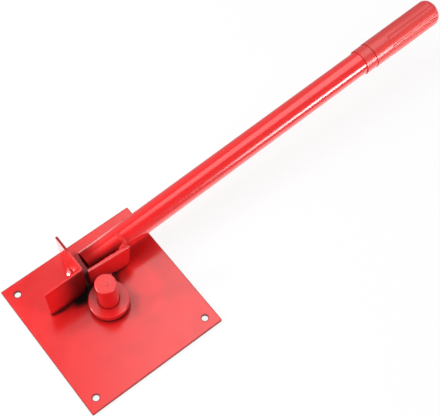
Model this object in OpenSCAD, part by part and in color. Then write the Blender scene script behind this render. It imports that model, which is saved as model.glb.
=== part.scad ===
// Bench rod bender: a fixed angle stop and a swinging lever work a rod around an upright pin.
// Origin: centre of the base plate's underside. +Z is up, +Y points along the lever at rest,
// and the rod lies along Y between the pin and the two pressing faces on its -X side.

/* [Base plate] */
// Width of the plate along X
plate_x = 164; // [140:1:240]
// Depth of the plate along Y
plate_y = 160; // [130:1:240]
// Thickness of the plate
plate_t = 3; // [2:0.5:10]
// Radius of the plate's four corners
plate_corner_r = 1; // [0.5:0.5:8]
// Diameter of the bench bolt holes
bolt_hole_d = 7; // [5:0.5:12]
// Distance from a bolt hole's centre to each of the two edges near it
bolt_inset = 12.4; // [9:0.2:18]

/* [Pin] */
// Diameter of the bar that the rod bends around
pin_d = 22; // [16:1:26]
// Height of the pin above the plate
pin_h = 51; // [40:0.5:70]
// Rounding of the pin's top rim
pin_rim_r = 1.2; // [0.4:0.2:3]
// Place of the pin's axis along X
pin_x = -2.7; // [-10:0.1:10]
// Place of the pin's axis along Y
pin_y = 0.7; // [-10:0.1:10]
// Leg of the countersink under the plate that the pin's weld fills
pin_weld_leg = 2; // [1:0.5:3]

/* [Collar] */
// Outer diameter of the loose collar on the pin
collar_d = 42; // [34:1:44]
// Thickness of the collar
collar_t = 8; // [5:0.5:14]
// Rounding of the collar's outer edges
collar_edge_r = 1; // [0.4:0.2:2]
// Chamfer at both ends of the collar's bore
collar_bore_chamfer = 0.5; // [0.3:0.1:2]

/* [Stop angle] */
// Space between the pin and the stop's face, where the rod lies
rod_gap = 14.5; // [13:0.5:20]
// Length of the leg that the rod leans on
stop_face_len = 45.8; // [35:0.2:60]
// Length of the wing, the leg that runs away from the rod
stop_wing_len = 46.4; // [30:0.2:50]
// Thickness of both legs
stop_t = 2.5; // [2:0.5:5]
// Height of the stop above the plate
stop_h = 51.4; // [40:0.2:70]
// Distance from the pin's axis to the wing's outer face, along -Y
stop_offset = 7.9; // [6:0.1:12]
// Inner radius of the bend between the two legs
stop_bend_r = 1.5; // [0.5:0.5:5]

/* [Lever head] */
// Thickness of the strap that turns on the pin
strap_t = 5; // [3:0.5:8]
// Width of the strap's round eye
strap_eye_d = 34; // [30:1:38]
// Width of the strap where it meets the press plate
strap_root_w = 28; // [15:1:36]
// Thickness of the press plate
press_t = 2.5; // [2:0.5:6]
// How far the press plate's face stands in front of the stop's face
press_lead = 1.5; // [0.5:0.1:2.5]
// Length of the press plate along its top edge
press_len = 50.3; // [40:0.1:60]
// Clearance between the press plate and the wing's outer face at rest
press_stop_gap = 3.7; // [3:0.1:6]
// Height of the press plate above the base plate at the end near the stop
press_h_near = 42.7; // [36:0.1:50]
// Height of the press plate above the base plate at the other end
press_h_far = 35.3; // [30:0.1:50]
// How far the far edge leans back at its foot
press_lean = 4.3; // [0:0.1:10]
// Radius of the press plate's lower far corner
press_corner_r = 6; // [2:0.5:10]

/* [Lever tube] */
// Outer diameter of the tube
tube_d = 26.7; // [20:0.1:30]
// Wall thickness of the tube
tube_wall = 1.4; // [1:0.1:3]
// Length of the tube
tube_len = 480; // [300:1:800]
// Place of the tube's open end along Y
tube_start = 2.3; // [0:0.1:10]
// Height of the tube's axis above the base plate, level with the pin
tube_h = 27; // [22:0.5:32]
// Rise of the tube towards the grip, in degrees
tube_rise = 3; // [0:0.1:8]
// Turn of the tube away from the rod, seen from above, in degrees
tube_yaw = 0.7; // [0:0.1:3]
// Root gap between the tube and the back of the press plate
tube_root_gap = 0.3; // [0.2:0.1:1.5]

/* [Welds] */
// Leg of the fillet welds at the stop's foot
foot_weld = 4; // [2:0.5:5]
// Space between the welds and the stop's inner corner, where the torch cannot reach
foot_weld_corner = 4; // [4:0.5:10]
// Distance from the wing's tip to the start of its weld
wing_weld_inset = 12; // [0:1:20]
// Leg of the fillet weld between the strap and the press plate
strap_weld_leg = 2.4; // [1.5:0.1:2.8]
// Height of the seam weld above the tube's axis, on the press plate's side
seam_top = 5.5; // [3:0.5:6]
// Distance from the tube's open end to the start of the seam weld
seam_inset = 2; // [0:0.5:10]
// Thickness of the bead that runs round the tube at the press plate's far end
ring_bead_d = 4; // [2:0.5:5]

/* [Grip] */
// Outer diameter of the hand grip behind its cuff
grip_d = 30.3; // [30:0.1:36]
// Length of the hand grip
grip_len = 111; // [90:1:140]
// Thickness of the grip's closed end
grip_end_t = 5; // [3:0.5:12]
// Rounding of the grip's closed end
grip_end_r = 9; // [4:0.5:12]
// Outer diameter of the plain cuff at the grip's mouth
grip_cuff_d = 29.4; // [29:0.1:30]
// Length of the cuff
grip_cuff_len = 14; // [8:0.5:20]
// Depth of the groove behind the cuff
grip_groove = 0.6; // [0.3:0.1:1]
// Distance from the grip's mouth to the start of its flutes
flute_start = 40; // [25:1:60]
// Number of flutes around the grip
flute_count = 8; // [4:1:10]
// Turn of the first flute from the top, towards the rod side, in degrees
flute_turn = 12; // [0:1:45]
// Width of a flute
flute_w = 5; // [3:0.5:6]
// Depth of a flute
flute_depth = 0.7; // [0.3:0.1:1]

/* [Clearances] */
// Radial clearance of the collar and the strap's eye on the pin
running_clearance = 0.1; // [0.03:0.01:0.1]
// Gap between flat faces that slide over each other
slide_gap = 0.3; // [0.2:0.05:0.5]
// Radial clearance between the grip and the tube
grip_clearance = 0.02; // [0:0.01:0.05]

/* [Hidden] */
$fn = 96;
eps = 0.01;
red = "#d6262b";
weld_red = "#b81f24";
grip_red = "#c5393b";

pin_r = pin_d / 2;
bore_r = pin_r + running_clearance;
tube_r = tube_d / 2;
grip_r = grip_d / 2;

// Levels above the plate's underside
strap_z = plate_t + slide_gap;
collar_z = strap_z + strap_t + slide_gap;
tube_z = plate_t + tube_h;

// The stop's outer corner, nearest to the pin and the lever
stop_x = pin_x - pin_r - rod_gap;
stop_y = pin_y - stop_offset;

// The press plate's face and ends
press_x = stop_x + press_lead;
press_y = stop_y + press_stop_gap;
press_back = press_x - press_t;

// The tube's axis where it passes the pin, and the grip's mouth along the tube
tube_x = press_back - tube_root_gap - tube_r;
grip_start = tube_start + tube_len + grip_end_t - grip_len;

// Turns round the tube, up from its rod side, at which the welds end, and the seam's reach past it
seam_low_turn = -15;
seam_top_turn = 45;
seam_reach = 3;
ring_bead_low_turn = 32;
ring_bead_top_turn = 95;

// Where the ring bead lies, measured along the tube from the line through the pin
ring_bead_s = press_y + press_len - ring_bead_d / 2 - 1;

// A box whose two ends along each axis are given
module block(low, high) {
    translate(low) cube([for (i = [0:2]) high[i] - low[i]]);
}

// A bar of triangular section along +Y, its square corner on the axis, legs towards +X and +Z
module fillet_bar(leg, length) {
    translate([0, length, 0])
        rotate([90, 0, 0])
            linear_extrude(length) polygon([[0, 0], [leg, 0], [0, leg]]);
}

// Moves a shape made along +Y from the origin onto the tube's axis
module on_tube() {
    translate([tube_x, 0, tube_z]) rotate([tube_rise, 0, tube_yaw]) children();
}

// A round bar along the tube's axis from one distance to another
module tube_bar(r, from, to) {
    translate([0, from, 0]) rotate([-90, 0, 0]) cylinder(r = r, h = to - from);
}

// Solid bar of the tube's own size, cut out of the welds that lie against it
module tube_cut() {
    on_tube() tube_bar(tube_r, tube_start - tube_d, tube_start + tube_len);
}

module bolt_holes() {
    for (sx = [-1, 1], sy = [-1, 1])
        translate([sx * (plate_x / 2 - bolt_inset), sy * (plate_y / 2 - bolt_inset), -eps])
            cylinder(d = bolt_hole_d, h = plate_t + 2 * eps);
}

// Square sheet with round corners, four bolt holes and the pin's countersunk hole
module base_plate() {
    color(red) difference() {
        union() {
            block([-plate_x / 2 + plate_corner_r, -plate_y / 2, 0],
                  [plate_x / 2 - plate_corner_r, plate_y / 2, plate_t]);
            block([-plate_x / 2, -plate_y / 2 + plate_corner_r, 0],
                  [plate_x / 2, plate_y / 2 - plate_corner_r, plate_t]);
            for (sx = [-1, 1], sy = [-1, 1])
                translate([sx * (plate_x / 2 - plate_corner_r), sy * (plate_y / 2 - plate_corner_r), 0])
                    cylinder(r = plate_corner_r, h = plate_t);
        }
        bolt_holes();
        translate([pin_x, pin_y, -eps]) cylinder(r = pin_r, h = plate_t + 2 * eps);
        translate([pin_x, pin_y, 0]) pin_countersink();
    }
}

module pin_countersink() {
    rotate_extrude() polygon([[0, 0], [pin_r + pin_weld_leg, 0], [pin_r, pin_weld_leg], [0, pin_weld_leg]]);
}

// Upright bar set through the plate, flush with its underside
module pivot_pin() {
    color(red) translate([pin_x, pin_y, 0]) union() {
        cylinder(r = pin_r, h = plate_t + pin_h - pin_rim_r);
        cylinder(r = pin_r - pin_rim_r, h = plate_t + pin_h);
        translate([0, 0, plate_t + pin_h - pin_rim_r])
            rotate_extrude() translate([pin_r - pin_rim_r, 0]) circle(r = pin_rim_r);
    }
}

// Weld that fills the countersink round the pin, ground flush below
module pin_weld() {
    color(weld_red) translate([pin_x, pin_y, 0]) difference() {
        pin_countersink();
        translate([0, 0, -eps]) cylinder(r = pin_r, h = pin_weld_leg + 2 * eps);
    }
}

// Folded strip on end: one leg faces the rod, the other runs back as a wing
module stop_angle() {
    outer_r = stop_bend_r + stop_t;
    bend_x = stop_x - outer_r;
    bend_y = stop_y - outer_r;
    color(red) translate([0, 0, plate_t]) union() {
        block([stop_x - stop_t, stop_y - stop_face_len, 0], [stop_x, bend_y, stop_h]);
        block([stop_x - stop_wing_len, stop_y - stop_t, 0], [bend_x, stop_y, stop_h]);
        translate([bend_x, bend_y, 0]) difference() {
            intersection() {
                cylinder(r = outer_r, h = stop_h);
                block([0, 0, 0], [outer_r, outer_r, stop_h]);
            }
            translate([0, 0, -eps]) cylinder(r = stop_bend_r, h = stop_h + 2 * eps);
        }
    }
}

// Fillet weld along the foot of the rod-side leg, on the back of that leg
module stop_face_weld() {
    length = stop_face_len - stop_t - foot_weld_corner;
    color(weld_red)
        translate([stop_x - stop_t, stop_y - stop_face_len, plate_t])
            mirror([1, 0, 0]) fillet_bar(foot_weld, length);
}

// Fillet weld along the foot of the wing, on the same inner side
module stop_wing_weld() {
    length = stop_wing_len - wing_weld_inset - stop_t - foot_weld_corner;
    color(weld_red)
        translate([stop_x - stop_wing_len + wing_weld_inset, stop_y - stop_t, plate_t])
            rotate([0, 0, -90]) fillet_bar(foot_weld, length);
}

// Loose ring that turns on the pin and carries the rod above the strap
module bending_collar() {
    ring_r = collar_d / 2;
    color(red) translate([pin_x, pin_y, collar_z]) difference() {
        union() {
            translate([0, 0, collar_edge_r]) cylinder(r = ring_r, h = collar_t - 2 * collar_edge_r);
            cylinder(r = ring_r - collar_edge_r, h = collar_t);
            for (z = [collar_edge_r, collar_t - collar_edge_r])
                translate([0, 0, z])
                    rotate_extrude() translate([ring_r - collar_edge_r, 0]) circle(r = collar_edge_r);
        }
        translate([0, 0, -eps]) cylinder(r = bore_r, h = collar_t + 2 * eps);
        for (end = [0, 1])
            translate([0, 0, end * collar_t]) mirror([0, 0, end])
                translate([0, 0, -eps])
                    cylinder(r1 = bore_r + collar_bore_chamfer + eps, r2 = bore_r, h = collar_bore_chamfer + eps);
    }
}

// Flat bar with a round eye on the pin, its straight end butted against the press plate
module pivot_strap() {
    eye_r = strap_eye_d / 2;
    reach = pin_x - press_x;
    near = press_y - pin_y;
    far = near + strap_root_w;
    // Directions from the pin to the points where the strap's edges leave the eye
    near_turn = 180 + atan2(-near, reach) + acos(eye_r / norm([reach, near]));
    far_turn = 180 - atan2(far, reach) - acos(eye_r / norm([reach, far]));
    color(red) translate([pin_x, pin_y, strap_z]) difference() {
        union() {
            cylinder(r = eye_r, h = strap_t);
            linear_extrude(strap_t) polygon([
                (eye_r - eps) * [cos(near_turn), sin(near_turn)],
                [-reach, near],
                [-reach, far],
                (eye_r - eps) * [cos(far_turn), sin(far_turn)]
            ]);
        }
        translate([0, 0, -eps]) cylinder(r = bore_r, h = strap_t + 2 * eps);
    }
}

// Fillet weld in the corner between the strap and the press plate
module strap_weld() {
    color(weld_red)
        translate([press_x, press_y, strap_z + strap_t]) fillet_bar(strap_weld_leg, strap_root_w);
}

// Upright plate that pushes the rod, lower at its far end
module press_plate() {
    foot = slide_gap;
    far_foot_y = press_len - press_lean;
    edge = [press_lean, press_h_far - foot] / norm([press_lean, press_h_far - foot]);
    // Centre of the round corner, one radius in from the foot and from the leaning edge
    corner_y = far_foot_y + press_corner_r * (edge[0] - 1) / edge[1];
    corner = [corner_y, foot + press_corner_r];
    color(red)
        translate([press_back, press_y, plate_t])
            rotate([90, 0, 90]) linear_extrude(press_t) union() {
                polygon([
                    [0, foot],
                    [corner[0], foot],
                    corner,
                    corner + press_corner_r * [edge[1], -edge[0]],
                    [press_len, press_h_far],
                    [0, press_h_near]
                ]);
                intersection() {
                    translate(corner) circle(r = press_corner_r);
                    translate([0, foot]) square([press_len, press_h_far]);
                }
            }
}

// Steel tube, open at the end beside the stop
module lever_tube() {
    color(red) on_tube() difference() {
        tube_bar(tube_r, tube_start, tube_start + tube_len);
        tube_bar(tube_r - tube_wall, tube_start - eps, tube_start + tube_len + eps);
    }
}

// Weld in the valley between the tube and the back of the press plate
module tube_seam_weld() {
    start = max(tube_start, press_y) + seam_inset;
    end = ring_bead_s - ring_bead_d / 2;
    color(weld_red) difference() {
        intersection() {
            block([tube_x, press_y, plate_t], [press_back, press_y + press_len, plate_t + press_h_near]);
            on_tube() translate([0, end, 0]) rotate([90, 0, 0]) linear_extrude(end - start) polygon([
                tube_r * [cos(seam_low_turn), sin(seam_low_turn)],
                [tube_r + seam_reach, tube_r * sin(seam_low_turn)],
                [tube_r + seam_reach, seam_top],
                tube_r * [cos(seam_top_turn), sin(seam_top_turn)]
            ]);
        }
        tube_cut();
    }
}

// Bead that runs up round the tube at the press plate's far end
module tube_ring_weld() {
    color(weld_red) difference() {
        on_tube() translate([0, ring_bead_s, 0]) rotate([-90, 0, 0])
            rotate([0, 0, -ring_bead_top_turn])
                rotate_extrude(angle = ring_bead_top_turn - ring_bead_low_turn)
                    translate([tube_r, 0]) circle(d = ring_bead_d);
        tube_cut();
    }
}

// Moulded sleeve with a plain cuff, a groove, long flutes and a rounded closed end
module hand_grip() {
    grip_end = grip_start + grip_len;
    flute_r = (flute_w * flute_w / 4 + flute_depth * flute_depth) / (2 * flute_depth);
    flute_axis = grip_r - flute_depth + flute_r;
    color(grip_red) on_tube() difference() {
        union() {
            tube_bar(grip_cuff_d / 2, grip_start, grip_end - grip_end_r);
            tube_bar(grip_r, grip_start + grip_cuff_len, grip_end - grip_end_r);
            translate([0, grip_end - grip_end_r, 0]) rotate([-90, 0, 0]) rotate_extrude() {
                square([grip_r - grip_end_r, grip_end_r]);
                intersection() {
                    translate([grip_r - grip_end_r, 0]) circle(r = grip_end_r);
                    square([grip_r, grip_end_r]);
                }
            }
        }
        tube_bar(tube_r + grip_clearance, grip_start - eps, grip_end - grip_end_t);
        translate([0, grip_start + grip_cuff_len, 0]) rotate([-90, 0, 0])
            rotate_extrude() translate([grip_cuff_d / 2, 0]) circle(r = grip_groove);
        for (i = [0:flute_count - 1])
            rotate([0, flute_turn + i * 360 / flute_count, 0]) translate([0, 0, flute_axis]) {
                tube_bar(flute_r, grip_start + flute_start, grip_end + eps);
                translate([0, grip_start + flute_start, 0]) sphere(r = flute_r);
            }
    }
}

base_plate();
stop_angle();
stop_face_weld();
stop_wing_weld();
pivot_pin();
pin_weld();
bending_collar();
pivot_strap();
strap_weld();
press_plate();
lever_tube();
tube_seam_weld();
tube_ring_weld();
hand_grip();
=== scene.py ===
import math
import random

import bmesh
import bpy
from mathutils import Matrix, Vector, noise


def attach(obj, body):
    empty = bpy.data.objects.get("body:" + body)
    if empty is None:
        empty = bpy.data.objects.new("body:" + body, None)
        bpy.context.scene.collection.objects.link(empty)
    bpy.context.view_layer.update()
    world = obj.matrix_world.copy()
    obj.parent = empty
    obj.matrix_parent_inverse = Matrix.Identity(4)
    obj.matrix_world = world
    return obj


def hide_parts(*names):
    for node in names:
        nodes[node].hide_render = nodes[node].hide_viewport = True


print("rod bender: load the frame")
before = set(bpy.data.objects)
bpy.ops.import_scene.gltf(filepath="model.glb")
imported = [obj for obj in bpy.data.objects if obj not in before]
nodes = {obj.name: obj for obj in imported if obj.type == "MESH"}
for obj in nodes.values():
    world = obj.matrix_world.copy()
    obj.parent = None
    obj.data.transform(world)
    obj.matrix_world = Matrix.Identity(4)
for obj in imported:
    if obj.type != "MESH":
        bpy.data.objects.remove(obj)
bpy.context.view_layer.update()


# a socket that takes part in sums
class Wire:
    def __init__(self, finish, socket):
        self.finish = finish
        self.socket = socket

    def combine(self, operation, first, second):
        return self.finish.add("ShaderNodeMath", {"operation": operation}, {0: first, 1: second})

    def __add__(self, other):
        return self.combine("ADD", self, other)

    def __radd__(self, other):
        return self.combine("ADD", other, self)

    def __sub__(self, other):
        return self.combine("SUBTRACT", self, other)

    def __rsub__(self, other):
        return self.combine("SUBTRACT", other, self)

    def __mul__(self, other):
        return self.combine("MULTIPLY", self, other)

    def __rmul__(self, other):
        return self.combine("MULTIPLY", other, self)

    def __truediv__(self, other):
        return self.combine("DIVIDE", self, other)

    def __rtruediv__(self, other):
        return self.combine("DIVIDE", other, self)

    def __or__(self, other):   # the greater of two
        return self.combine("MAXIMUM", self, other)

    def __abs__(self):
        return self.combine("ABSOLUTE", self, 0.0)

    def root(self):
        return self.combine("SQRT", self, 0.0)

    def wave(self):
        return self.combine("SINE", self, 0.0)


# the nodes of one material, or of the world
class Finish:
    def __init__(self, owner):
        owner.use_nodes = True
        self.owner = owner
        self.tree = owner.node_tree
        self.tree.nodes.clear()

    def add(self, kind, settings=None, sockets=None, out=0):
        node = self.tree.nodes.new(kind)
        for key, value in (settings or {}).items():
            setattr(node, key, value)
        for key, value in (sockets or {}).items():
            if isinstance(value, Wire):
                self.tree.links.new(value.socket, node.inputs[key])
            else:
                node.inputs[key].default_value = value
        return Wire(self, node.outputs[out]) if node.outputs else None

    def place(self):   # metres in the piece's own frame
        return self.add("ShaderNodeTexCoord", out="Object")

    def axes(self, vector):
        split = self.add("ShaderNodeSeparateXYZ", None, {0: vector})
        return [Wire(self, split.socket.node.outputs[i]) for i in range(3)]

    def rays(self, *kinds):
        path = self.add("ShaderNodeLightPath")
        return [Wire(self, path.socket.node.outputs[kind]) for kind in kinds]

    def grain(self, size, detail=2.0):
        return self.add("ShaderNodeTexNoise", None,
                        {"Vector": self.place(), "Scale": 1 / size, "Detail": detail}, "Fac")

    def ragged(self, size, amount, detail=3.0):   # grain to both sides of zero
        return amount * self.grain(size, detail) - amount / 2

    def remap(self, value, low, high, toLow=0.0, toHigh=1.0, curve="SMOOTHSTEP"):
        return self.add("ShaderNodeMapRange", {"interpolation_type": curve}, {
            "Value": value, "From Min": low, "From Max": high, "To Min": toLow, "To Max": toHigh})

    def vector(self, operation, first, second, out=0):
        return self.add("ShaderNodeVectorMath", {"operation": operation}, {0: first, 1: second}, out)

    def blendColour(self, mask, first, second):
        first, second = [c if isinstance(c, Wire) else (*c, 1) for c in (first, second)]
        return self.add("ShaderNodeMix", {"data_type": "RGBA"}, {"Factor": mask, 6: first, 7: second}, 2)

    def close(self, shader):
        self.add("ShaderNodeOutputMaterial", None, {"Surface": shader})
        return self.owner


# The studio. x, y and z are a direction of length 1, and a pair is where a fade starts and where
# it is full.
room = {
    "horizon": 0.48,              # level of the walls all round
    "ceiling": 0.22,              # level of the unlit ceiling
    "rise": (0.4, 0.9),           # from the walls to the ceiling
    "glow": 1.90,                 # level of the lit part of the ceiling
    "glowLean": 0.8,              # its near edge runs aslant by this much
    "glowNear": (-0.22, -0.06),
    "glowFar": (0.72, 0.45),
    "glowRight": (0.35, 0.0),
    "glowLow": (0.35, 0.80),
    "cutRight": (-0.30, -0.12),   # its near right corner is left out
    "cutNear": (0.19, 0.07),
    "unlitRight": (0.02, 0.45),   # the unlit side of the room
    "unlitNear": (0.35, 0.05),
    "unlitShare": 0.85,
    "window": 13.0,               # level of the long window beside the lever
    "windowTurn": 64.0,           # its middle, in degrees from +Y toward +X
    "windowSide": (0.2, 0.4),
    "windowAcross": ((-0.20, -0.12), (0.20, 0.03)),
    "windowHeight": ((0.0, 0.04), (0.40, 0.26)),
    "fill": 0.62,                 # soft light from beside the camera, which the gloss does not show
    "fillFrom": (0.362, -0.292, 0.885),
    "fillSpread": (0.5, 0.95),
}


def buildRoom():
    world = bpy.data.worlds.new("whiteStudio")
    bpy.context.scene.world = world
    f = Finish(world)
    x, y, z = f.axes(f.add("ShaderNodeTexCoord", out="Generated"))
    glow = f.remap(y + room["glowLean"] * x, *room["glowNear"]) * f.remap(x, *room["glowRight"])
    glow = glow * f.remap(z, *room["glowLow"]) * f.remap(y, *room["glowFar"])
    glow = glow * (1 - f.remap(x, *room["cutRight"]) * f.remap(y, *room["cutNear"]))
    plain = f.remap(z, *room["rise"], room["horizon"], room["ceiling"])
    unlit = f.remap(x, *room["unlitRight"]) * f.remap(y, *room["unlitNear"])
    level = (plain + (room["glow"] - plain) * glow) * (1 - room["unlitShare"] * unlit)
    turn = math.radians(room["windowTurn"])
    across = x * math.cos(turn) - y * math.sin(turn)
    left, right = room["windowAcross"]
    foot, head = room["windowHeight"]
    window = f.remap(across, *left) * f.remap(across, *right) * f.remap(z, *foot) * f.remap(z, *head)
    level = level + room["window"] * window * f.remap(x, *room["windowSide"])
    fillX, fillY, fillZ = room["fillFrom"]
    fill = f.remap(x * fillX + y * fillY + z * fillZ, *room["fillSpread"])
    seen, diffuse = f.rays("Is Camera Ray", "Is Diffuse Ray")
    level = level + room["fill"] * fill * diffuse
    strength = f.add("ShaderNodeMix", {"data_type": "FLOAT"}, {0: seen, 2: level, 3: 1.0})
    sky = f.add("ShaderNodeBackground", None, {"Color": (1, 1, 1, 1), "Strength": strength})
    f.add("ShaderNodeOutputWorld", None, {"Surface": sky})


ground = {
    "size": 14.0,
    "drop": 0.0004,            # how far it lies under the plate
    "tone": 0.90,
    "ownLight": 0.85,          # share of its own light, where it is seen or mirrored
    "mirroredNear": 1.9,       # its level as the gloss shows it, near the tool and farther out
    "mirroredFar": 0.4,
    "farRight": (0.02, 0.11),  # from near to far on +X, and on -X beyond the stop
    "farLeft": (-0.055, -0.075),
    "pastStop": (0.03, 0.08),
}


def buildGround():
    half = ground["size"] / 2
    corners = [(-half, -half, 0), (half, -half, 0), (half, half, 0), (-half, half, 0)]
    mesh = bpy.data.meshes.new("floor")
    mesh.from_pydata(corners, [], [(0, 1, 2, 3)])
    floor = bpy.data.objects.new("floor", mesh)
    floor.location.z = -ground["drop"]
    bpy.context.scene.collection.objects.link(floor)
    f = Finish(bpy.data.materials.new("paleFloor"))
    x, y = f.axes(f.place())[:2]
    seen, mirrored, through = f.rays("Is Camera Ray", "Is Glossy Ray", "Is Transmission Ray")
    far = f.remap(x, *ground["farRight"]) | f.remap(x, *ground["farLeft"]) * f.remap(y, *ground["pastStop"])
    inGloss = ground["mirroredNear"] + (ground["mirroredFar"] - ground["mirroredNear"]) * far
    level = 1 + (inGloss - 1) * mirrored
    tone = ground["tone"]
    lit = f.add("ShaderNodeBsdfDiffuse", None, {"Color": (tone, tone, tone, 1)})
    white = f.add("ShaderNodeEmission", None, {"Color": (1, 1, 1, 1), "Strength": level})
    share = ground["ownLight"] * (seen + mirrored + through)
    floor.data.materials.append(f.close(f.add("ShaderNodeMixShader", None, {0: share, 1: lit, 2: white})))


lampAim = (-0.045, 0.05, 0.03)
lamps = {
    "keyBox": {"at": (-0.705, -0.725, 1.13), "width": 1.3, "height": 0.66, "watts": 10.5},
    "sparkBox": {"at": (-0.50, -1.24, 0.66), "width": 0.14, "height": 0.14, "watts": 8.0},
}


def buildLamps():
    for name, look in lamps.items():
        data = bpy.data.lights.new(name, "AREA")
        data.shape = "RECTANGLE"
        data.size = look["width"]
        data.size_y = look["height"]
        data.energy = look["watts"]
        lamp = bpy.data.objects.new(name, data)
        turn = (Vector(lampAim) - Vector(look["at"])).to_track_quat("-Z", "Y").to_matrix().to_4x4()
        lamp.matrix_world = Matrix.Translation(look["at"]) @ turn
        bpy.context.scene.collection.objects.link(lamp)


camera = {
    "at": (0.386721, -0.170260, 0.996765),
    "right": (0.620318, 0.784333, 0.005238),
    "down": (0.695780, -0.547175, -0.465285),
    "forward": (-0.362072, 0.292270, -0.885145),
    "lens": 85.677,
    "sensor": 36,
    "nearest": 0.01,
}


def buildCamera():
    data = bpy.data.cameras.new("photoView")
    data.lens = camera["lens"]
    data.sensor_width = camera["sensor"]
    data.clip_start = camera["nearest"]
    view = bpy.data.objects.new("photoView", data)
    turn = Matrix((camera["right"], -Vector(camera["down"]), -Vector(camera["forward"]))).transposed()
    view.matrix_world = Matrix.Translation(camera["at"]) @ turn.to_4x4()
    bpy.context.scene.collection.objects.link(view)
    bpy.context.scene.camera = view


print("rod bender: studio")
buildRoom()
buildGround()
buildLamps()
buildCamera()
bpy.context.scene.view_settings.view_transform = "Standard"


# Weld beads. Each stands for a plain weld of the frame.
bead = {
    "step": 0.00035,         # distance between sections along the bead
    "across": 14,            # points across the crown
    "fewest": 8,             # sections of the shortest bead
    "ripple": 0.0013,        # distance from one ripple to the next
    "rippleDepth": 0.00009,
    "rippleLag": 0.0011,     # how far the middle of a ripple runs ahead of its ends
    "crown": 0.16,           # height of the crown, as a share of the bead's width
    "lump": 0.12,            # how much the bead swells and leans
    "lumpSize": 0.0045,
    "leanRow": 7.0,          # the row of the noise that the lean is read from, and the crown's lumps
    "crownRow": 3.0,
    "crownLump": 2.5,        # lumps on the crown: how much more, how much finer, and rows across
    "crownFine": 1.7,
    "crownRows": 3,
    "endLength": 0.0022,
    "endSize": 0.03,
    "sink": 0.00015,         # how far the toes run into the metal
    "toeIn": 0.96,
    "knobs": [],             # piled-up metal: place along the bead, half length, share of the width
    "knobUp": 0.4,           # how much of a knob goes to the bead's second side
    "flats": [],             # where paint pooled on a knob: place along the bead, way it faces, depth
    "flatReach": 0.0045,
    "flatRound": 0.026,      # radius of the flat across the bead
    "flatShare": 0.94,       # how far the metal above the flat is pressed down to it
    "spatter": 0,            # drops beside the bead
    "spatterSize": (0.00025, 0.0006),
    "spatterTall": 0.6,
    "spatterFaces": (0, 0, 1),
}


def mm(*xyz):
    return Vector(xyz) / 1000


def ease(low, high, value):
    t = min(1.0, max(0.0, (value - low) / (high - low)))
    return t * t * (3 - 2 * t)


def between(pair, share):
    return pair[0] + (pair[1] - pair[0]) * share


# one cut through the bead: over the crown from toe to toe, and back under the metal
def beadSection(track, distance, b):
    root, first, second, out = track(distance / b["length"])
    inward = min(distance, b["length"] - distance) / b["endLength"]
    size = math.sqrt(max(0.0, 1 - (1 - min(inward, 1.0)) ** 2)) * (1 - b["endSize"]) + b["endSize"]
    place = distance / b["lumpSize"]
    swell = 1 + b["lump"] * noise.noise(Vector((place, b["seed"], 0.0)))
    lean = b["lump"] * noise.noise(Vector((place, b["seed"], b["leanRow"])))
    pile = sum(share * math.exp(-((distance - middle) / half) ** 2) for middle, half, share in b["knobs"])
    first = first * size * (swell + lean + pile)
    second = second * size * (swell - lean + b["knobUp"] * pile)
    width = (second - first).length
    points = []
    for i in range(b["across"] + 1):
        v = i / b["across"]
        arch = math.sin(math.pi * v)
        wave = math.sin(2 * math.pi * (distance - b["rippleLag"] * arch) / b["ripple"])
        spot = Vector((place * b["crownFine"], b["crownRows"] * v, b["seed"] + b["crownRow"]))
        rise = width * b["crown"] * arch * (1 + b["crownLump"] * b["lump"] * noise.noise(spot))
        rise += b["rippleDepth"] * wave * arch * size
        points.append(root + first * (1 - v) + second * v + out * rise)
    points.append(root + second * b["toeIn"] - first.normalized() * b["sink"])
    points.append(root - out * b["sink"] * 2)
    points.append(root + first * b["toeIn"] - second.normalized() * b["sink"])
    return points


# presses the metal that stands above a flat down to it
def pressFlats(rings, b):
    for place, facing, depth in b["flats"]:
        way = Vector(facing).normalized()
        middle = round(place / b["length"] * (len(rings) - 1))
        crest = max((v.co.copy() for v in rings[middle]), key=lambda point: point.dot(way))
        near = [v for ring in rings for v in ring if (v.co - crest).length < b["flatReach"]]
        top = max(v.co.dot(way) for v in near)
        side = way.cross(rings[-1][0].co - rings[0][0].co).normalized()
        for v in near:
            across = (v.co - crest).dot(side)
            over = v.co.dot(way) - (top - depth) + across * across / (2 * b["flatRound"])
            if over > 0:
                v.co -= way * over * b["flatShare"]


# small drops thrown on the plate beside the bead
def addSpatter(work, b):
    dice = random.Random(b["seed"])
    turn = Vector(b["spatterFaces"]).to_track_quat("Z", "Y").to_matrix().to_4x4()
    for i in range(b["spatter"]):
        place = Vector([dice.uniform(low, high) for low, high in zip(b["spatterFrom"], b["spatterTo"])])
        throw = b["spatterThrow"] * dice.choice((-1, 1))
        radius = dice.uniform(*b["spatterSize"])
        place = Matrix.Translation(place + throw * dice.gauss(0, 1))
        flat = Matrix.Diagonal((radius, radius, radius * b["spatterTall"], 1))
        bmesh.ops.create_icosphere(work, subdivisions=2, radius=1.0, matrix=place @ turn @ flat)


def weldBead(name, node, body, look, track):
    b = {**bead, **look}
    work = bmesh.new()
    count = max(b["fewest"], round(b["length"] / b["step"]))
    rings = []
    for i in range(count + 1):
        rings.append([work.verts.new(p) for p in beadSection(track, b["length"] * i / count, b)])
    pressFlats(rings, b)
    for one, two in zip(rings, rings[1:]):
        for j in range(len(one)):
            k = (j + 1) % len(one)
            work.faces.new((one[j], one[k], two[k], two[j]))
    work.faces.new(rings[0][::-1])
    work.faces.new(rings[-1])
    addSpatter(work, b)
    bmesh.ops.recalc_face_normals(work, faces=work.faces)
    for face in work.faces:
        face.smooth = True
    mesh = bpy.data.meshes.new(name)
    work.to_mesh(mesh)
    work.free()
    piece = bpy.data.objects.new(name, mesh)
    bpy.context.scene.collection.objects.link(piece)
    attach(piece, body)
    if node:
        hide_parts(node)
    return piece


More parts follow.
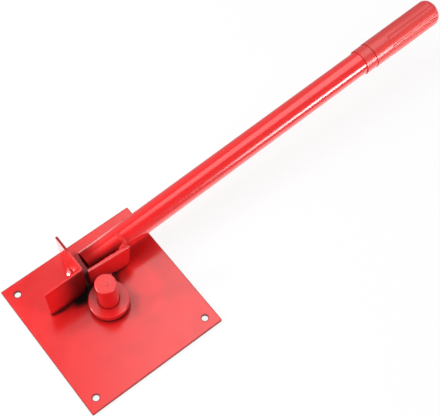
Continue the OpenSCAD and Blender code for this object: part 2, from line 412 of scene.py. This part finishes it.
# a track gives, at a share t of the bead, its root, the reach to each toe and the way out
def straightTrack(look):
    first, second = look["toes"]
    out = (first + second).normalized()

    def track(t):
        return look["start"].lerp(look["end"], t), first, second, out
    return track


wingBead = {
    "seed": 11,
    "length": 0.0285,
    "start": mm(-62.9, -9.7, 3),
    "end": mm(-34.4, -9.7, 3),
    "toes": (mm(0, -4.3, 0), mm(0, 0, 4.1)),
    "lump": 0.30,
    "lumpSize": 0.0052,
    "ripple": 0.0017,
    "rippleDepth": 0.00007,
    "knobs": [(0.0075, 0.0029, 0.80)],
    "flats": [(0.0075, (0.059, -0.589, 0.806), 0.0006)],
    "spatter": 16,
    "spatterFrom": mm(-64, -19, 3),
    "spatterTo": mm(-34, -14.5, 3),
    "spatterThrow": mm(0, 0.8, 0),
}

faceBead = {
    "seed": 23,
    "length": 0.0393,
    "start": mm(-30.7, -53.0, 3),
    "end": mm(-30.7, -13.7, 3),
    "toes": (mm(-4.1, 0, 0), mm(0, 0, 4.0)),
    "lump": 0.18,
    "spatter": 18,
    "spatterFrom": mm(-40, -52, 3),
    "spatterTo": mm(-35.3, -14, 3),
    "spatterThrow": mm(0.8, 0, 0),
}

strapBead = {
    "seed": 31,
    "length": 0.0276,
    "start": mm(-26.7, -3.3, 8.3),
    "end": mm(-26.7, 21.0, 8.3),
    "toes": (mm(2.25, 0, 0), mm(0, 0, 2.3)),
    "lump": 0.08,
    "crown": 0.06,
}

# the tube, and the top edge of the press plate, as the CAD sets them: lengths in mm, turns in degrees
tube = {
    "axis": mm(-42.85, 0, 30),
    "radius": 13.35,
    "rise": 3.0,
    "yaw": 0.7,
}
pressEdge = {
    "back": -29.2,           # x of the plate's back
    "near": -3.5,            # y where the top edge starts
    "length": 50.3,
    "top": (45.7, 38.3),     # its height there and at its far end
}
tubeYaw = Matrix.Rotation(math.radians(tube["yaw"]), 3, "Z")
tubeTurn = tubeYaw @ Matrix.Rotation(math.radians(tube["rise"]), 3, "X")


def onTube(x, y, z):
    return tube["axis"] + tubeTurn @ mm(x, y, z)


def pressTop(y):
    return between(pressEdge["top"], (y - pressEdge["near"]) / pressEdge["length"])


seamBead = {
    "seed": 43,
    "length": 0.0398,
    "along": (3.2, 47.0),      # mm along the tube
    "climb": (30.0, 45.0),     # where it climbs out of the valley
    "turn": (20.0, 45.0),      # degrees up the tube, in the valley and at the top
    "height": (2.0, 5.6),      # over the tube's axis, on the press plate's side
    "spill": 1.1,              # how far it leans over the press plate's top edge
    "proud": 0.2,
    "rootIn": 0.86,
    "rootLow": 3.0,
    "lump": 0.14,
    "lumpSize": 0.005,
    "crown": 0.14,
}


# deep in the valley between the tube and the press plate, then up to the plate's top edge
def seamTrack(t):
    s = between(seamBead["along"], t)
    climb = ease(*seamBead["climb"], s)
    turn = math.radians(between(seamBead["turn"], climb))
    height = between(seamBead["height"], climb)
    onRound = onTube(tube["radius"] * math.cos(turn), s, tube["radius"] * math.sin(turn))
    level = onTube(tube["radius"], s, height).z
    top = (pressTop(s) + seamBead["proud"]) / 1000
    across = (pressEdge["back"] + seamBead["spill"] * climb) / 1000
    onPlate = Vector((across, onRound.y, level + (top - level) * climb))
    root = onTube(tube["radius"] * seamBead["rootIn"], s, height - seamBead["rootLow"])
    out = (onRound + onPlate - 2 * root).normalized()
    return root, onRound - root, onPlate - root, out


dripBead = {
    "seed": 71,
    "length": 0.0480,
    "along": (-2.5, 46.3),     # mm along the press plate
    "half": (0.6, 1.6),        # it widens from the stop's end on
    "widens": (0.1, 0.8),
    "inset": 0.5,              # its root lies inside the plate's top edge
    "depth": 0.6,
    "over": 0.9,               # how far it hangs over the plate's back
    "sag": 0.3,
    "out": (-0.5, 0, 0.87),
    "lump": 0.28,
    "lumpSize": 0.0050,
    "crown": 0.20,
    "rippleDepth": 0.00003,
    "across": 10,
}


# drips along the back of the press plate's top edge
def dripTrack(t):
    y = between(dripBead["along"], t)
    wide = between(dripBead["half"], ease(*dripBead["widens"], t))
    root = mm(pressEdge["back"] + dripBead["inset"], y, pressTop(y) - dripBead["depth"])
    first = mm(wide, 0, dripBead["depth"])
    second = mm(-dripBead["over"] - wide, 0, -dripBead["sag"])
    return root, first, second, Vector(dripBead["out"])


ringBead = {
    "seed": 57,
    "length": 0.0170,
    "place": 45.2,             # mm along the tube
    "turn": (26.0, 99.0),      # degrees up the tube
    "half": 2.0,
    "buried": 0.3,
    "wander": 0.5,             # it wanders along the tube by a sine
    "wanderRate": 5.0,
    "wanderStart": 0.6,
    "lump": 0.34,
    "lumpSize": 0.0036,
    "crown": 0.09,
}


# up round the tube at the press plate's far end
def ringTrack(t):
    turn = math.radians(between(ringBead["turn"], t))
    radial = tubeTurn @ Vector((math.cos(turn), 0, math.sin(turn)))
    along = tubeTurn @ mm(0, ringBead["half"], 0)
    drift = ringBead["wander"] * math.sin(ringBead["wanderRate"] * t + ringBead["wanderStart"])
    lift = radial * ringBead["buried"] / 1000
    root = onTube(0, ringBead["place"] + drift, 0) + radial * (tube["radius"] - ringBead["buried"]) / 1000
    return root, lift + along, lift - along, radial


print("rod bender: weld beads")
weldBeads = [
    weldBead("stop_wing_bead", "stop_wing_weld", "base", wingBead, straightTrack(wingBead)),
    weldBead("stop_face_bead", "stop_face_weld", "base", faceBead, straightTrack(faceBead)),
    weldBead("strap_bead", "strap_weld", "lever", strapBead, straightTrack(strapBead)),
    weldBead("tube_seam_bead", "tube_seam_weld", "lever", seamBead, seamTrack),
    weldBead("press_drip_bead", None, "lever", dripBead, dripTrack),
    weldBead("tube_ring_bead", "tube_ring_weld", "lever", ringBead, ringTrack),
]


# Gloss red paint. Lengths are metres from here on.
paint = {
    "colour": (0.80, 0.012, 0.013),
    "deep": (0.66, 0.008, 0.009),
    "deepSize": 0.035,           # patches of the deeper colour
    "deepFrom": (0.40, 0.80),
    "deepShare": 0.5,
    # colour of the painted shade in corners and pockets, and of the dark edges
    "shadeAndDarkEdges": (0.012, 0.008, 0.008),
    "ior": 1.8,
    "roughness": 0.15,
    "smear": 0.06,               # how much rougher the smeared patches are
    "smearSize": 0.012,
    "smearFrom": (0.35, 0.8),
    "peelSize": 0.0024,          # orange peel
    "peelDepth": 0.000006,
    "edgeRadius": 0.0006,
    "corner": (0.70, 0.45),      # near cavity, from open to full: painted shade in the corners between pieces
    "cornerReach": 0.008,
    "cornerShade": 0.85,
    "pocket": (0.58, 0.24),      # wide cavity: painted shade in the pockets between pieces
    "pocketReach": 0.030,
    "pocketShade": 0.9,
    "dulling": 0.9,              # how much of the gloss the painted shade and dark edges take away
    "dullRoughness": 0.9,
    "dullIor": 1.15,
    "roundFrom": (0.93, 0.98),   # how well a facet has to face outward to shade as a true round
    "calmUpTo": None,            # steps and grooves up to this y shade as one round
    "calmFade": 0.003,
    "calmFrom": (0.2, 0.5),
    "samples": 8,
    "edgeSamples": 4,
}


# painted shade: how deep a point sits in a corner and in a pocket between pieces
def paintedShadeMask(f, p):
    near, wide = [f.add("ShaderNodeAmbientOcclusion", {"samples": p["samples"]}, {"Distance": reach}, "AO")
                  for reach in (p["cornerReach"], p["pocketReach"])]
    corner = f.remap(near, *p["corner"], 0.0, p["cornerShade"])
    pocket = f.remap(wide, *p["pocket"], 0.0, p["pocketShade"])
    return 1 - (1 - corner) * (1 - pocket)


# the true round of a turned bar or tube, so that its facets don't break up a long highlight
def roundNormal(f, axle, bevel, p):
    point, direction = axle
    offset = f.vector("SUBTRACT", f.place(), point)
    along = f.vector("DOT_PRODUCT", offset, direction, "Value")
    onAxle = f.add("ShaderNodeVectorMath", {"operation": "SCALE"}, {0: direction, "Scale": along})
    turned = f.add("ShaderNodeVectorTransform",
                   {"vector_type": "NORMAL", "convert_from": "OBJECT", "convert_to": "WORLD"},
                   {0: f.vector("SUBTRACT", offset, onAxle)})
    facing = f.vector("DOT_PRODUCT", turned, bevel, "Value")
    mask = f.remap(facing, *p["roundFrom"], curve="LINEAR")
    if p["calmUpTo"]:
        calm = f.remap(f.axes(f.place())[1], p["calmUpTo"], p["calmUpTo"] - p["calmFade"])
        mask = mask | f.remap(facing, *p["calmFrom"]) * calm
    return f.add("ShaderNodeMix", {"data_type": "VECTOR"}, {"Factor": mask, 4: bevel, 5: turned}, 1)


# marks, if any, change the colour, roughness, height and painted shade and dark edges of one piece
def paintFinish(name, look, marks=None, axle=None):
    p = {**paint, **look}
    f = Finish(bpy.data.materials.new(name))
    deep = f.remap(f.grain(p["deepSize"], detail=3.0), *p["deepFrom"], 0.0, p["deepShare"])
    colour = f.blendColour(deep, p["colour"], p["deep"])
    rough = p["roughness"] + p["smear"] * f.remap(f.grain(p["smearSize"], detail=4.0), *p["smearFrom"])
    height = f.grain(p["peelSize"], detail=1.0) * p["peelDepth"]
    shadeAndDarkEdges = paintedShadeMask(f, p)
    if marks:
        colour, rough, height, shadeAndDarkEdges = marks(f, colour, rough, height, shadeAndDarkEdges)
    # painted shade and dark edges darken the colour, and the shaded parts lose their gloss
    colour = f.blendColour(shadeAndDarkEdges, colour, p["shadeAndDarkEdges"])
    bevel = f.add("ShaderNodeBevel", {"samples": p["edgeSamples"]}, {"Radius": p["edgeRadius"]})
    if axle:
        bevel = roundNormal(f, axle, bevel, p)
    normal = f.add("ShaderNodeBump", None, {
        "Strength": 1.0, "Distance": 1.0, "Height": height, "Normal": bevel})
    gloss = f.add("ShaderNodeBsdfPrincipled", None, {
        "Base Color": colour, "Roughness": rough, "IOR": p["ior"], "Normal": normal})
    dull = f.add("ShaderNodeBsdfPrincipled", None, {
        "Base Color": colour, "Roughness": p["dullRoughness"], "IOR": p["dullIor"], "Normal": normal})
    return f.close(f.add("ShaderNodeMixShader", None, {0: shadeAndDarkEdges * p["dulling"], 1: gloss, 2: dull}))


def dress(name, material):
    slots = nodes[name].data.materials
    for i in range(len(slots)):
        slots[i] = material
    if not len(slots):
        slots.append(material)


print("rod bender: base plate and stop")
plate = {
    "paint": {"roughness": 0.16},
    "half": (0.0820, 0.0800),
    "edgeBand": 0.0009,         # thin dark paint along the sheared edges
    "edgeDark": 0.5,
    "edgeRagged": 0.0005,
    "edgeGrain": 0.004,
    "edgeRough": 0.4,
    "hole": (0.0696, 0.0676),   # and round the bolt holes
    "holeRadius": 0.0035,
    "ringBand": (0.0009, 0.0002),
    "ringDark": 0.6,
    "cleanCorner": (0.13, 0.12),   # y - x at the corner under the lever, which is free of painted shade and of the dark ring round its bolt hole
    "patchFade": (1.25, 0.55),
    "shadePatches": [                 # middle, half widths and strength of painted shade round the tool's foot: beside the stop, wing, collar and press plate, a painted reflection of the lever, and a darker zone left of the stop
        ((-0.027, -0.015), (0.011, 0.021), 1.0),
        ((-0.0275, -0.034), (0.0034, 0.018), 0.85),
        ((-0.012, -0.034), (0.018, 0.028), 0.22),
        ((-0.034, 0.066), (0.016, 0.024), 0.12),
        ((-0.058, -0.040), (0.030, 0.034), 0.14),
        ((-0.038, 0.001), (0.012, 0.006), 0.90),
        ((-0.062, 0.003), (0.014, 0.007), 0.50),
        ((-0.020, 0.029), (0.010, 0.010), 0.25),
        ((0.009, 0.018), (0.011, 0.011), 0.16),
    ],
    "shadePatchGrain": 0.010,
    "shadePatchRagged": 0.6,
    "litPatches": [                 # painted light: brighter paint on the plate beside and under the lever, which lifts the lever's cast shadow
        ((-0.004, 0.044), (0.028, 0.017), 0.95),
        ((0.020, 0.034), (0.014, 0.016), 0.60),
    ],
    "litPatchGrain": 0.014,
    "litPatchRagged": 0.3,
    "litPatchColour": (1.0, 0.010, 0.011),
    "openLeft": (-0.046, -0.056),   # no painted shade in the open corner at the wing's foot
    "openNear": (-0.030, -0.022),
    "openFar": (0.0, -0.006),
}


def platePatches(f, x, y, patches, ragged):
    total = None
    for (atX, atY), (wideX, wideY), strength in patches:
        u = (x - atX) / wideX
        v = (y - atY) / wideY
        patch = f.remap((u * u + v * v).root() + ragged, *plate["patchFade"], 0.0, strength)
        total = total | patch if total else patch
    return total


def plateMarks(f, colour, rough, height, shadeAndDarkEdges):
    x, y = f.axes(f.place())[:2]
    edge = (abs(x) - plate["half"][0]) | (abs(y) - plate["half"][1])
    ragged = plate["edgeRagged"] * f.grain(plate["edgeGrain"])
    dark = f.remap(edge + ragged, -plate["edgeBand"], 0.0, 0.0, plate["edgeDark"])
    offX = abs(x) - plate["hole"][0]
    offY = abs(y) - plate["hole"][1]
    reach = (offX * offX + offY * offY).root() - plate["holeRadius"]
    ring = f.remap(reach - ragged, *plate["ringBand"], 0.0, plate["ringDark"])
    clean = f.remap(y - x, *plate["cleanCorner"])
    # painted shade patches round the tool's foot
    ragged = f.ragged(plate["shadePatchGrain"], plate["shadePatchRagged"])
    shadePatches = platePatches(f, x, y, plate["shadePatches"], ragged)
    # painted light where the lever's shadow falls on the plate
    ragged = f.ragged(plate["litPatchGrain"], plate["litPatchRagged"], detail=2.0)
    litPatches = platePatches(f, x, y, plate["litPatches"], ragged)
    colour = f.blendColour(litPatches, colour, plate["litPatchColour"])
    wingFoot = f.remap(x, *plate["openLeft"]) * f.remap(y, *plate["openNear"]) * f.remap(y, *plate["openFar"])
    shadeAndDarkEdges = shadeAndDarkEdges * (1 - wingFoot)
    return colour, rough + plate["edgeRough"] * dark, height, (shadeAndDarkEdges | ring) * clean | dark | shadePatches


stop = {
    "paint": {},
    "grain": 0.012,
    "ragged": 0.012,
    "face": (-0.0288, -0.0284),       # x at the face that the rod rests on
    "foot": (0.011, 0.0035),          # painted shade low on that face, where it meets the plate
    "footShade": 0.75,
    "footRagged": 0.4,
    "end": (-0.047, -0.018),          # and painted shade toward the lever
    "endShade": 0.72,
    "wingTop": (0.0530, 0.0536),      # bare dark top edge on the wing
    "wingOut": (-0.050, -0.060),
    "wingGrime": 0.6,
    "openLeft": (-0.046, -0.056),
}


def stopMarks(f, colour, rough, height, shadeAndDarkEdges):
    x, y, z = f.axes(f.place())
    ragged = f.ragged(stop["grain"], stop["ragged"])
    # painted shade low on the face and toward the lever
    low = f.remap(z + stop["footRagged"] * ragged, *stop["foot"], 0.0, stop["footShade"])
    end = f.remap(y + ragged, *stop["end"], 0.0, stop["endShade"])
    wing = f.remap(z, *stop["wingTop"]) * f.remap(x, *stop["wingOut"], 0.0, stop["wingGrime"])
    # no painted shade on the wing's open side
    shadeAndDarkEdges = shadeAndDarkEdges * (1 - f.remap(x, *stop["openLeft"]))
    return colour, rough, height, shadeAndDarkEdges | f.remap(x, *stop["face"]) * (low | end) | wing


dress("base_plate", paintFinish("platePaint", plate["paint"], plateMarks))
dress("stop_angle", paintFinish("stopPaint", stop["paint"], stopMarks))


print("rod bender: pin and collar")
pin = {
    "paint": {"cornerShade": 0.1, "pocketShade": 0.6},
    "axis": (-0.0027, 0.0007),
    "end": (0.0532, 0.0537),    # z where the end face starts
    "endRough": 0.10,
    "turning": 0.0011,          # distance between turned rings on the end
    "turningDepth": 0.000010,
    "turningGrain": 0.006,
    "turningWander": 3.0,
    "shaft": (0.58, 0.008, 0.009),   # the shaft is a deeper red
    "shaftShare": 0.5,
    "scratchCentre": (-0.0022, 0.0020),   # a curved scratch on the end
    "scratchRadius": 0.0024,
    "scratchWidth": (0.0007, 0.0002),
    "scratchLean": 0.5,
    "scratchPart": (-0.0016, 0.0004),
    "scratchDepth": 0.00012,
    "scratchColour": (0.38, 0.01, 0.01),
    "scratchShare": 0.8,
}


def pinMarks(f, colour, rough, height, shadeAndDarkEdges):
    x, y, z = f.axes(f.place())
    dx = x - pin["axis"][0]
    dy = y - pin["axis"][1]
    onEnd = f.remap(z, *pin["end"])
    wander = pin["turningWander"] * f.grain(pin["turningGrain"])
    rings = ((dx * dx + dy * dy).root() * (2 * math.pi / pin["turning"]) + wander).wave()
    sx = x - pin["scratchCentre"][0]
    sy = y - pin["scratchCentre"][1]
    bow = abs((sx * sx + sy * sy).root() - pin["scratchRadius"])
    part = f.remap(sx + sy * pin["scratchLean"], *pin["scratchPart"])
    scratch = f.remap(bow, *pin["scratchWidth"]) * part * onEnd
    height = height + onEnd * rings * pin["turningDepth"] - scratch * pin["scratchDepth"]
    colour = f.blendColour(pin["shaftShare"] * (1 - onEnd), colour, pin["shaft"])
    colour = f.blendColour(pin["scratchShare"] * scratch, colour, pin["scratchColour"])
    return colour, rough + pin["endRough"] * onEnd, height, shadeAndDarkEdges * (1 - onEnd)


collar = {
    "paint": {"roughness": 0.2, "cornerShade": 0.1, "pocket": (0.90, 0.40), "pocketShade": 0.5},
}

pinAxle = ((*pin["axis"], 0.0), (0, 0, 1))
dress("pivot_pin", paintFinish("pinPaint", pin["paint"], pinMarks, pinAxle))
dress("bending_collar", paintFinish("collarPaint", collar["paint"], None, pinAxle))


print("rod bender: lever and grip")
lever = {
    "paint": {"colour": (0.88, 0.015, 0.016), "deep": (0.78, 0.010, 0.011), "shadeAndDarkEdges": (0.12, 0.004, 0.004),
              "roughness": 0.11, "peelSize": 0.012, "peelDepth": 0.000004, "pocket": (0.70, 0.35),
              "dulling": 1.5},
    "strapPaint": {"pocket": (0.90, 0.50)},
    "pressPaint": {},
    "grain": 0.010,
    "ragged": 0.010,
    "end": (0.028, 0.006),            # painted shadow at the tube's open end, where the stop's wing shades it
    "endShade": 0.64,
    "valley": (0.0034, 0.0100),       # painted shade in the valley beside the press plate
    "valleyEnd": (0.056, 0.032),
    "valleyShade": 0.92,
    "shoulder": (-0.0120, -0.0085),   # no painted shade on the far shoulder, which stays bright
    # the painted shade fades out along the tube by here
    "shadeEnd": (0.10, 0.06),
    "flankShade": (-0.0035, -0.0055),      # painted shade: deeper paint toward the far flank, in two steps
    "flankShare": 0.16,
    "farFlank": (-0.0075, -0.0120),
    "farFlankShare": 0.5,
    "flankShadeColour": (0.30, 0.005, 0.006),
}


def acrossTube(x, y):   # metres from the tube's axis, toward the pin
    return x - tube["axis"][0] + math.tan(math.radians(tube["yaw"])) * y


def tubeMarks(f, colour, rough, height, shadeAndDarkEdges):
    x, y = f.axes(f.place())[:2]
    ragged = f.ragged(lever["grain"], lever["ragged"])
    aside = x - tube["axis"][0]
    # painted shadow at the tube's open end
    end = f.remap(y + ragged, *lever["end"], 0.0, lever["endShade"])
    # painted shade in the valley beside the press plate
    valley = f.remap(y + ragged, *lever["valleyEnd"], 0.0, lever["valleyShade"])
    valley = f.remap(aside, *lever["valley"]) * valley
    shoulder = f.remap(aside, *lever["shoulder"])
    # painted shade only near the tube's head and off the far shoulder
    shadeAndDarkEdges = shadeAndDarkEdges * f.remap(y, *lever["shadeEnd"]) * shoulder
    # painted shade on the far flank
    across = acrossTube(x, y)
    flankShade = f.remap(across, *lever["flankShade"], 0.0, lever["flankShare"])
    flankShade = flankShade | f.remap(across, *lever["farFlank"], 0.0, lever["farFlankShare"])
    colour = f.blendColour(flankShade, colour, lever["flankShadeColour"])
    return colour, rough, height, shadeAndDarkEdges | (1 - (1 - end * shoulder) * (1 - valley))


grip = {
    "paint": {"colour": (0.72, 0.038, 0.034), "deep": (0.63, 0.030, 0.027), "ior": 1.65, "roughness": 0.32,
              "peelDepth": 0.000003, "edgeRadius": 0.0010, "roundFrom": (0.975, 0.995), "calmUpTo": 0.394,
              "cornerShade": 0.0, "pocketShade": 0.0},
    "flankShade": (-0.0020, -0.0130),      # painted shade: deeper vinyl on the far flank
    "flankShare": 0.50,
    "flankShadeColour": (0.40, 0.030, 0.027),
    "litSide": (0.0040, 0.0110),        # painted light: paler toward the pin's side, where the light falls
    "litSideShare": 0.9,
    "litSideColour": (0.94, 0.052, 0.046),
    "cuff": (0.435, 0.400),           # smoother toward the cuff
    "cuffSmooth": 0.08,
}


def gripMarks(f, colour, rough, height, shadeAndDarkEdges):
    x, y = f.axes(f.place())[:2]
    across = acrossTube(x, y)
    # painted shade on the far flank
    flankShade = f.remap(across, *grip["flankShade"], 0.0, grip["flankShare"])
    # painted light toward the pin's side
    litSide = f.remap(across, *grip["litSide"], 0.0, grip["litSideShare"])
    colour = f.blendColour(flankShade, colour, grip["flankShadeColour"])
    colour = f.blendColour(litSide, colour, grip["litSideColour"])
    return colour, rough - grip["cuffSmooth"] * f.remap(y, *grip["cuff"]), height, shadeAndDarkEdges


tubeAxle = (tuple(tube["axis"]), tuple(tubeTurn @ Vector((0, 1, 0))))
dress("pivot_strap", paintFinish("strapPaint", lever["strapPaint"]))
dress("press_plate", paintFinish("pressPaint", lever["pressPaint"]))
dress("lever_tube", paintFinish("tubePaint", lever["paint"], tubeMarks, tubeAxle))
dress("hand_grip", paintFinish("gripVinyl", grip["paint"], gripMarks, tubeAxle))


print("rod bender: paint on the welds")
weld = {
    "paint": {"roughness": 0.34, "edgeRadius": 0.0002, "cornerShade": 0.4},
    "runnyPaint": {"roughness": 0.09, "edgeRadius": 0.0002, "cornerShade": 0.1},
    "ringPaint": {"colour": (0.84, 0.014, 0.015), "ior": 1.45, "roughness": 0.50, "edgeRadius": 0.0004,
                  "cornerShade": 0.1},
    "seamPaint": {"colour": (0.70, 0.010, 0.011), "ior": 1.45, "roughness": 0.50, "edgeRadius": 0.0002,
                  "cornerShade": 0.4},
    "valleyEnd": (0.042, 0.034),   # painted shade on the seam where it lies in the valley, up to here
    "valleyShade": 0.85,
    "valleyRagged": 0.006,
    "valleyGrain": 0.006,
}


# painted shade on the seam in the valley
def seamMarks(f, colour, rough, height, shadeAndDarkEdges):
    y = f.axes(f.place())[1] + weld["valleyRagged"] * f.grain(weld["valleyGrain"])
    return colour, rough, height, shadeAndDarkEdges | f.remap(y, *weld["valleyEnd"], 0.0, weld["valleyShade"])


weldPaint = paintFinish("weldPaint", weld["paint"])
beadPaints = {
    "stop_wing_bead": paintFinish("runnyPaint", weld["runnyPaint"]),
    "tube_ring_bead": paintFinish("ringPaint", weld["ringPaint"]),
    "tube_seam_bead": paintFinish("seamPaint", weld["seamPaint"], seamMarks),
}
dress("pin_weld", weldPaint)
for piece in weldBeads:
    piece.data.materials.append(beadPaints.get(piece.name, weldPaint))
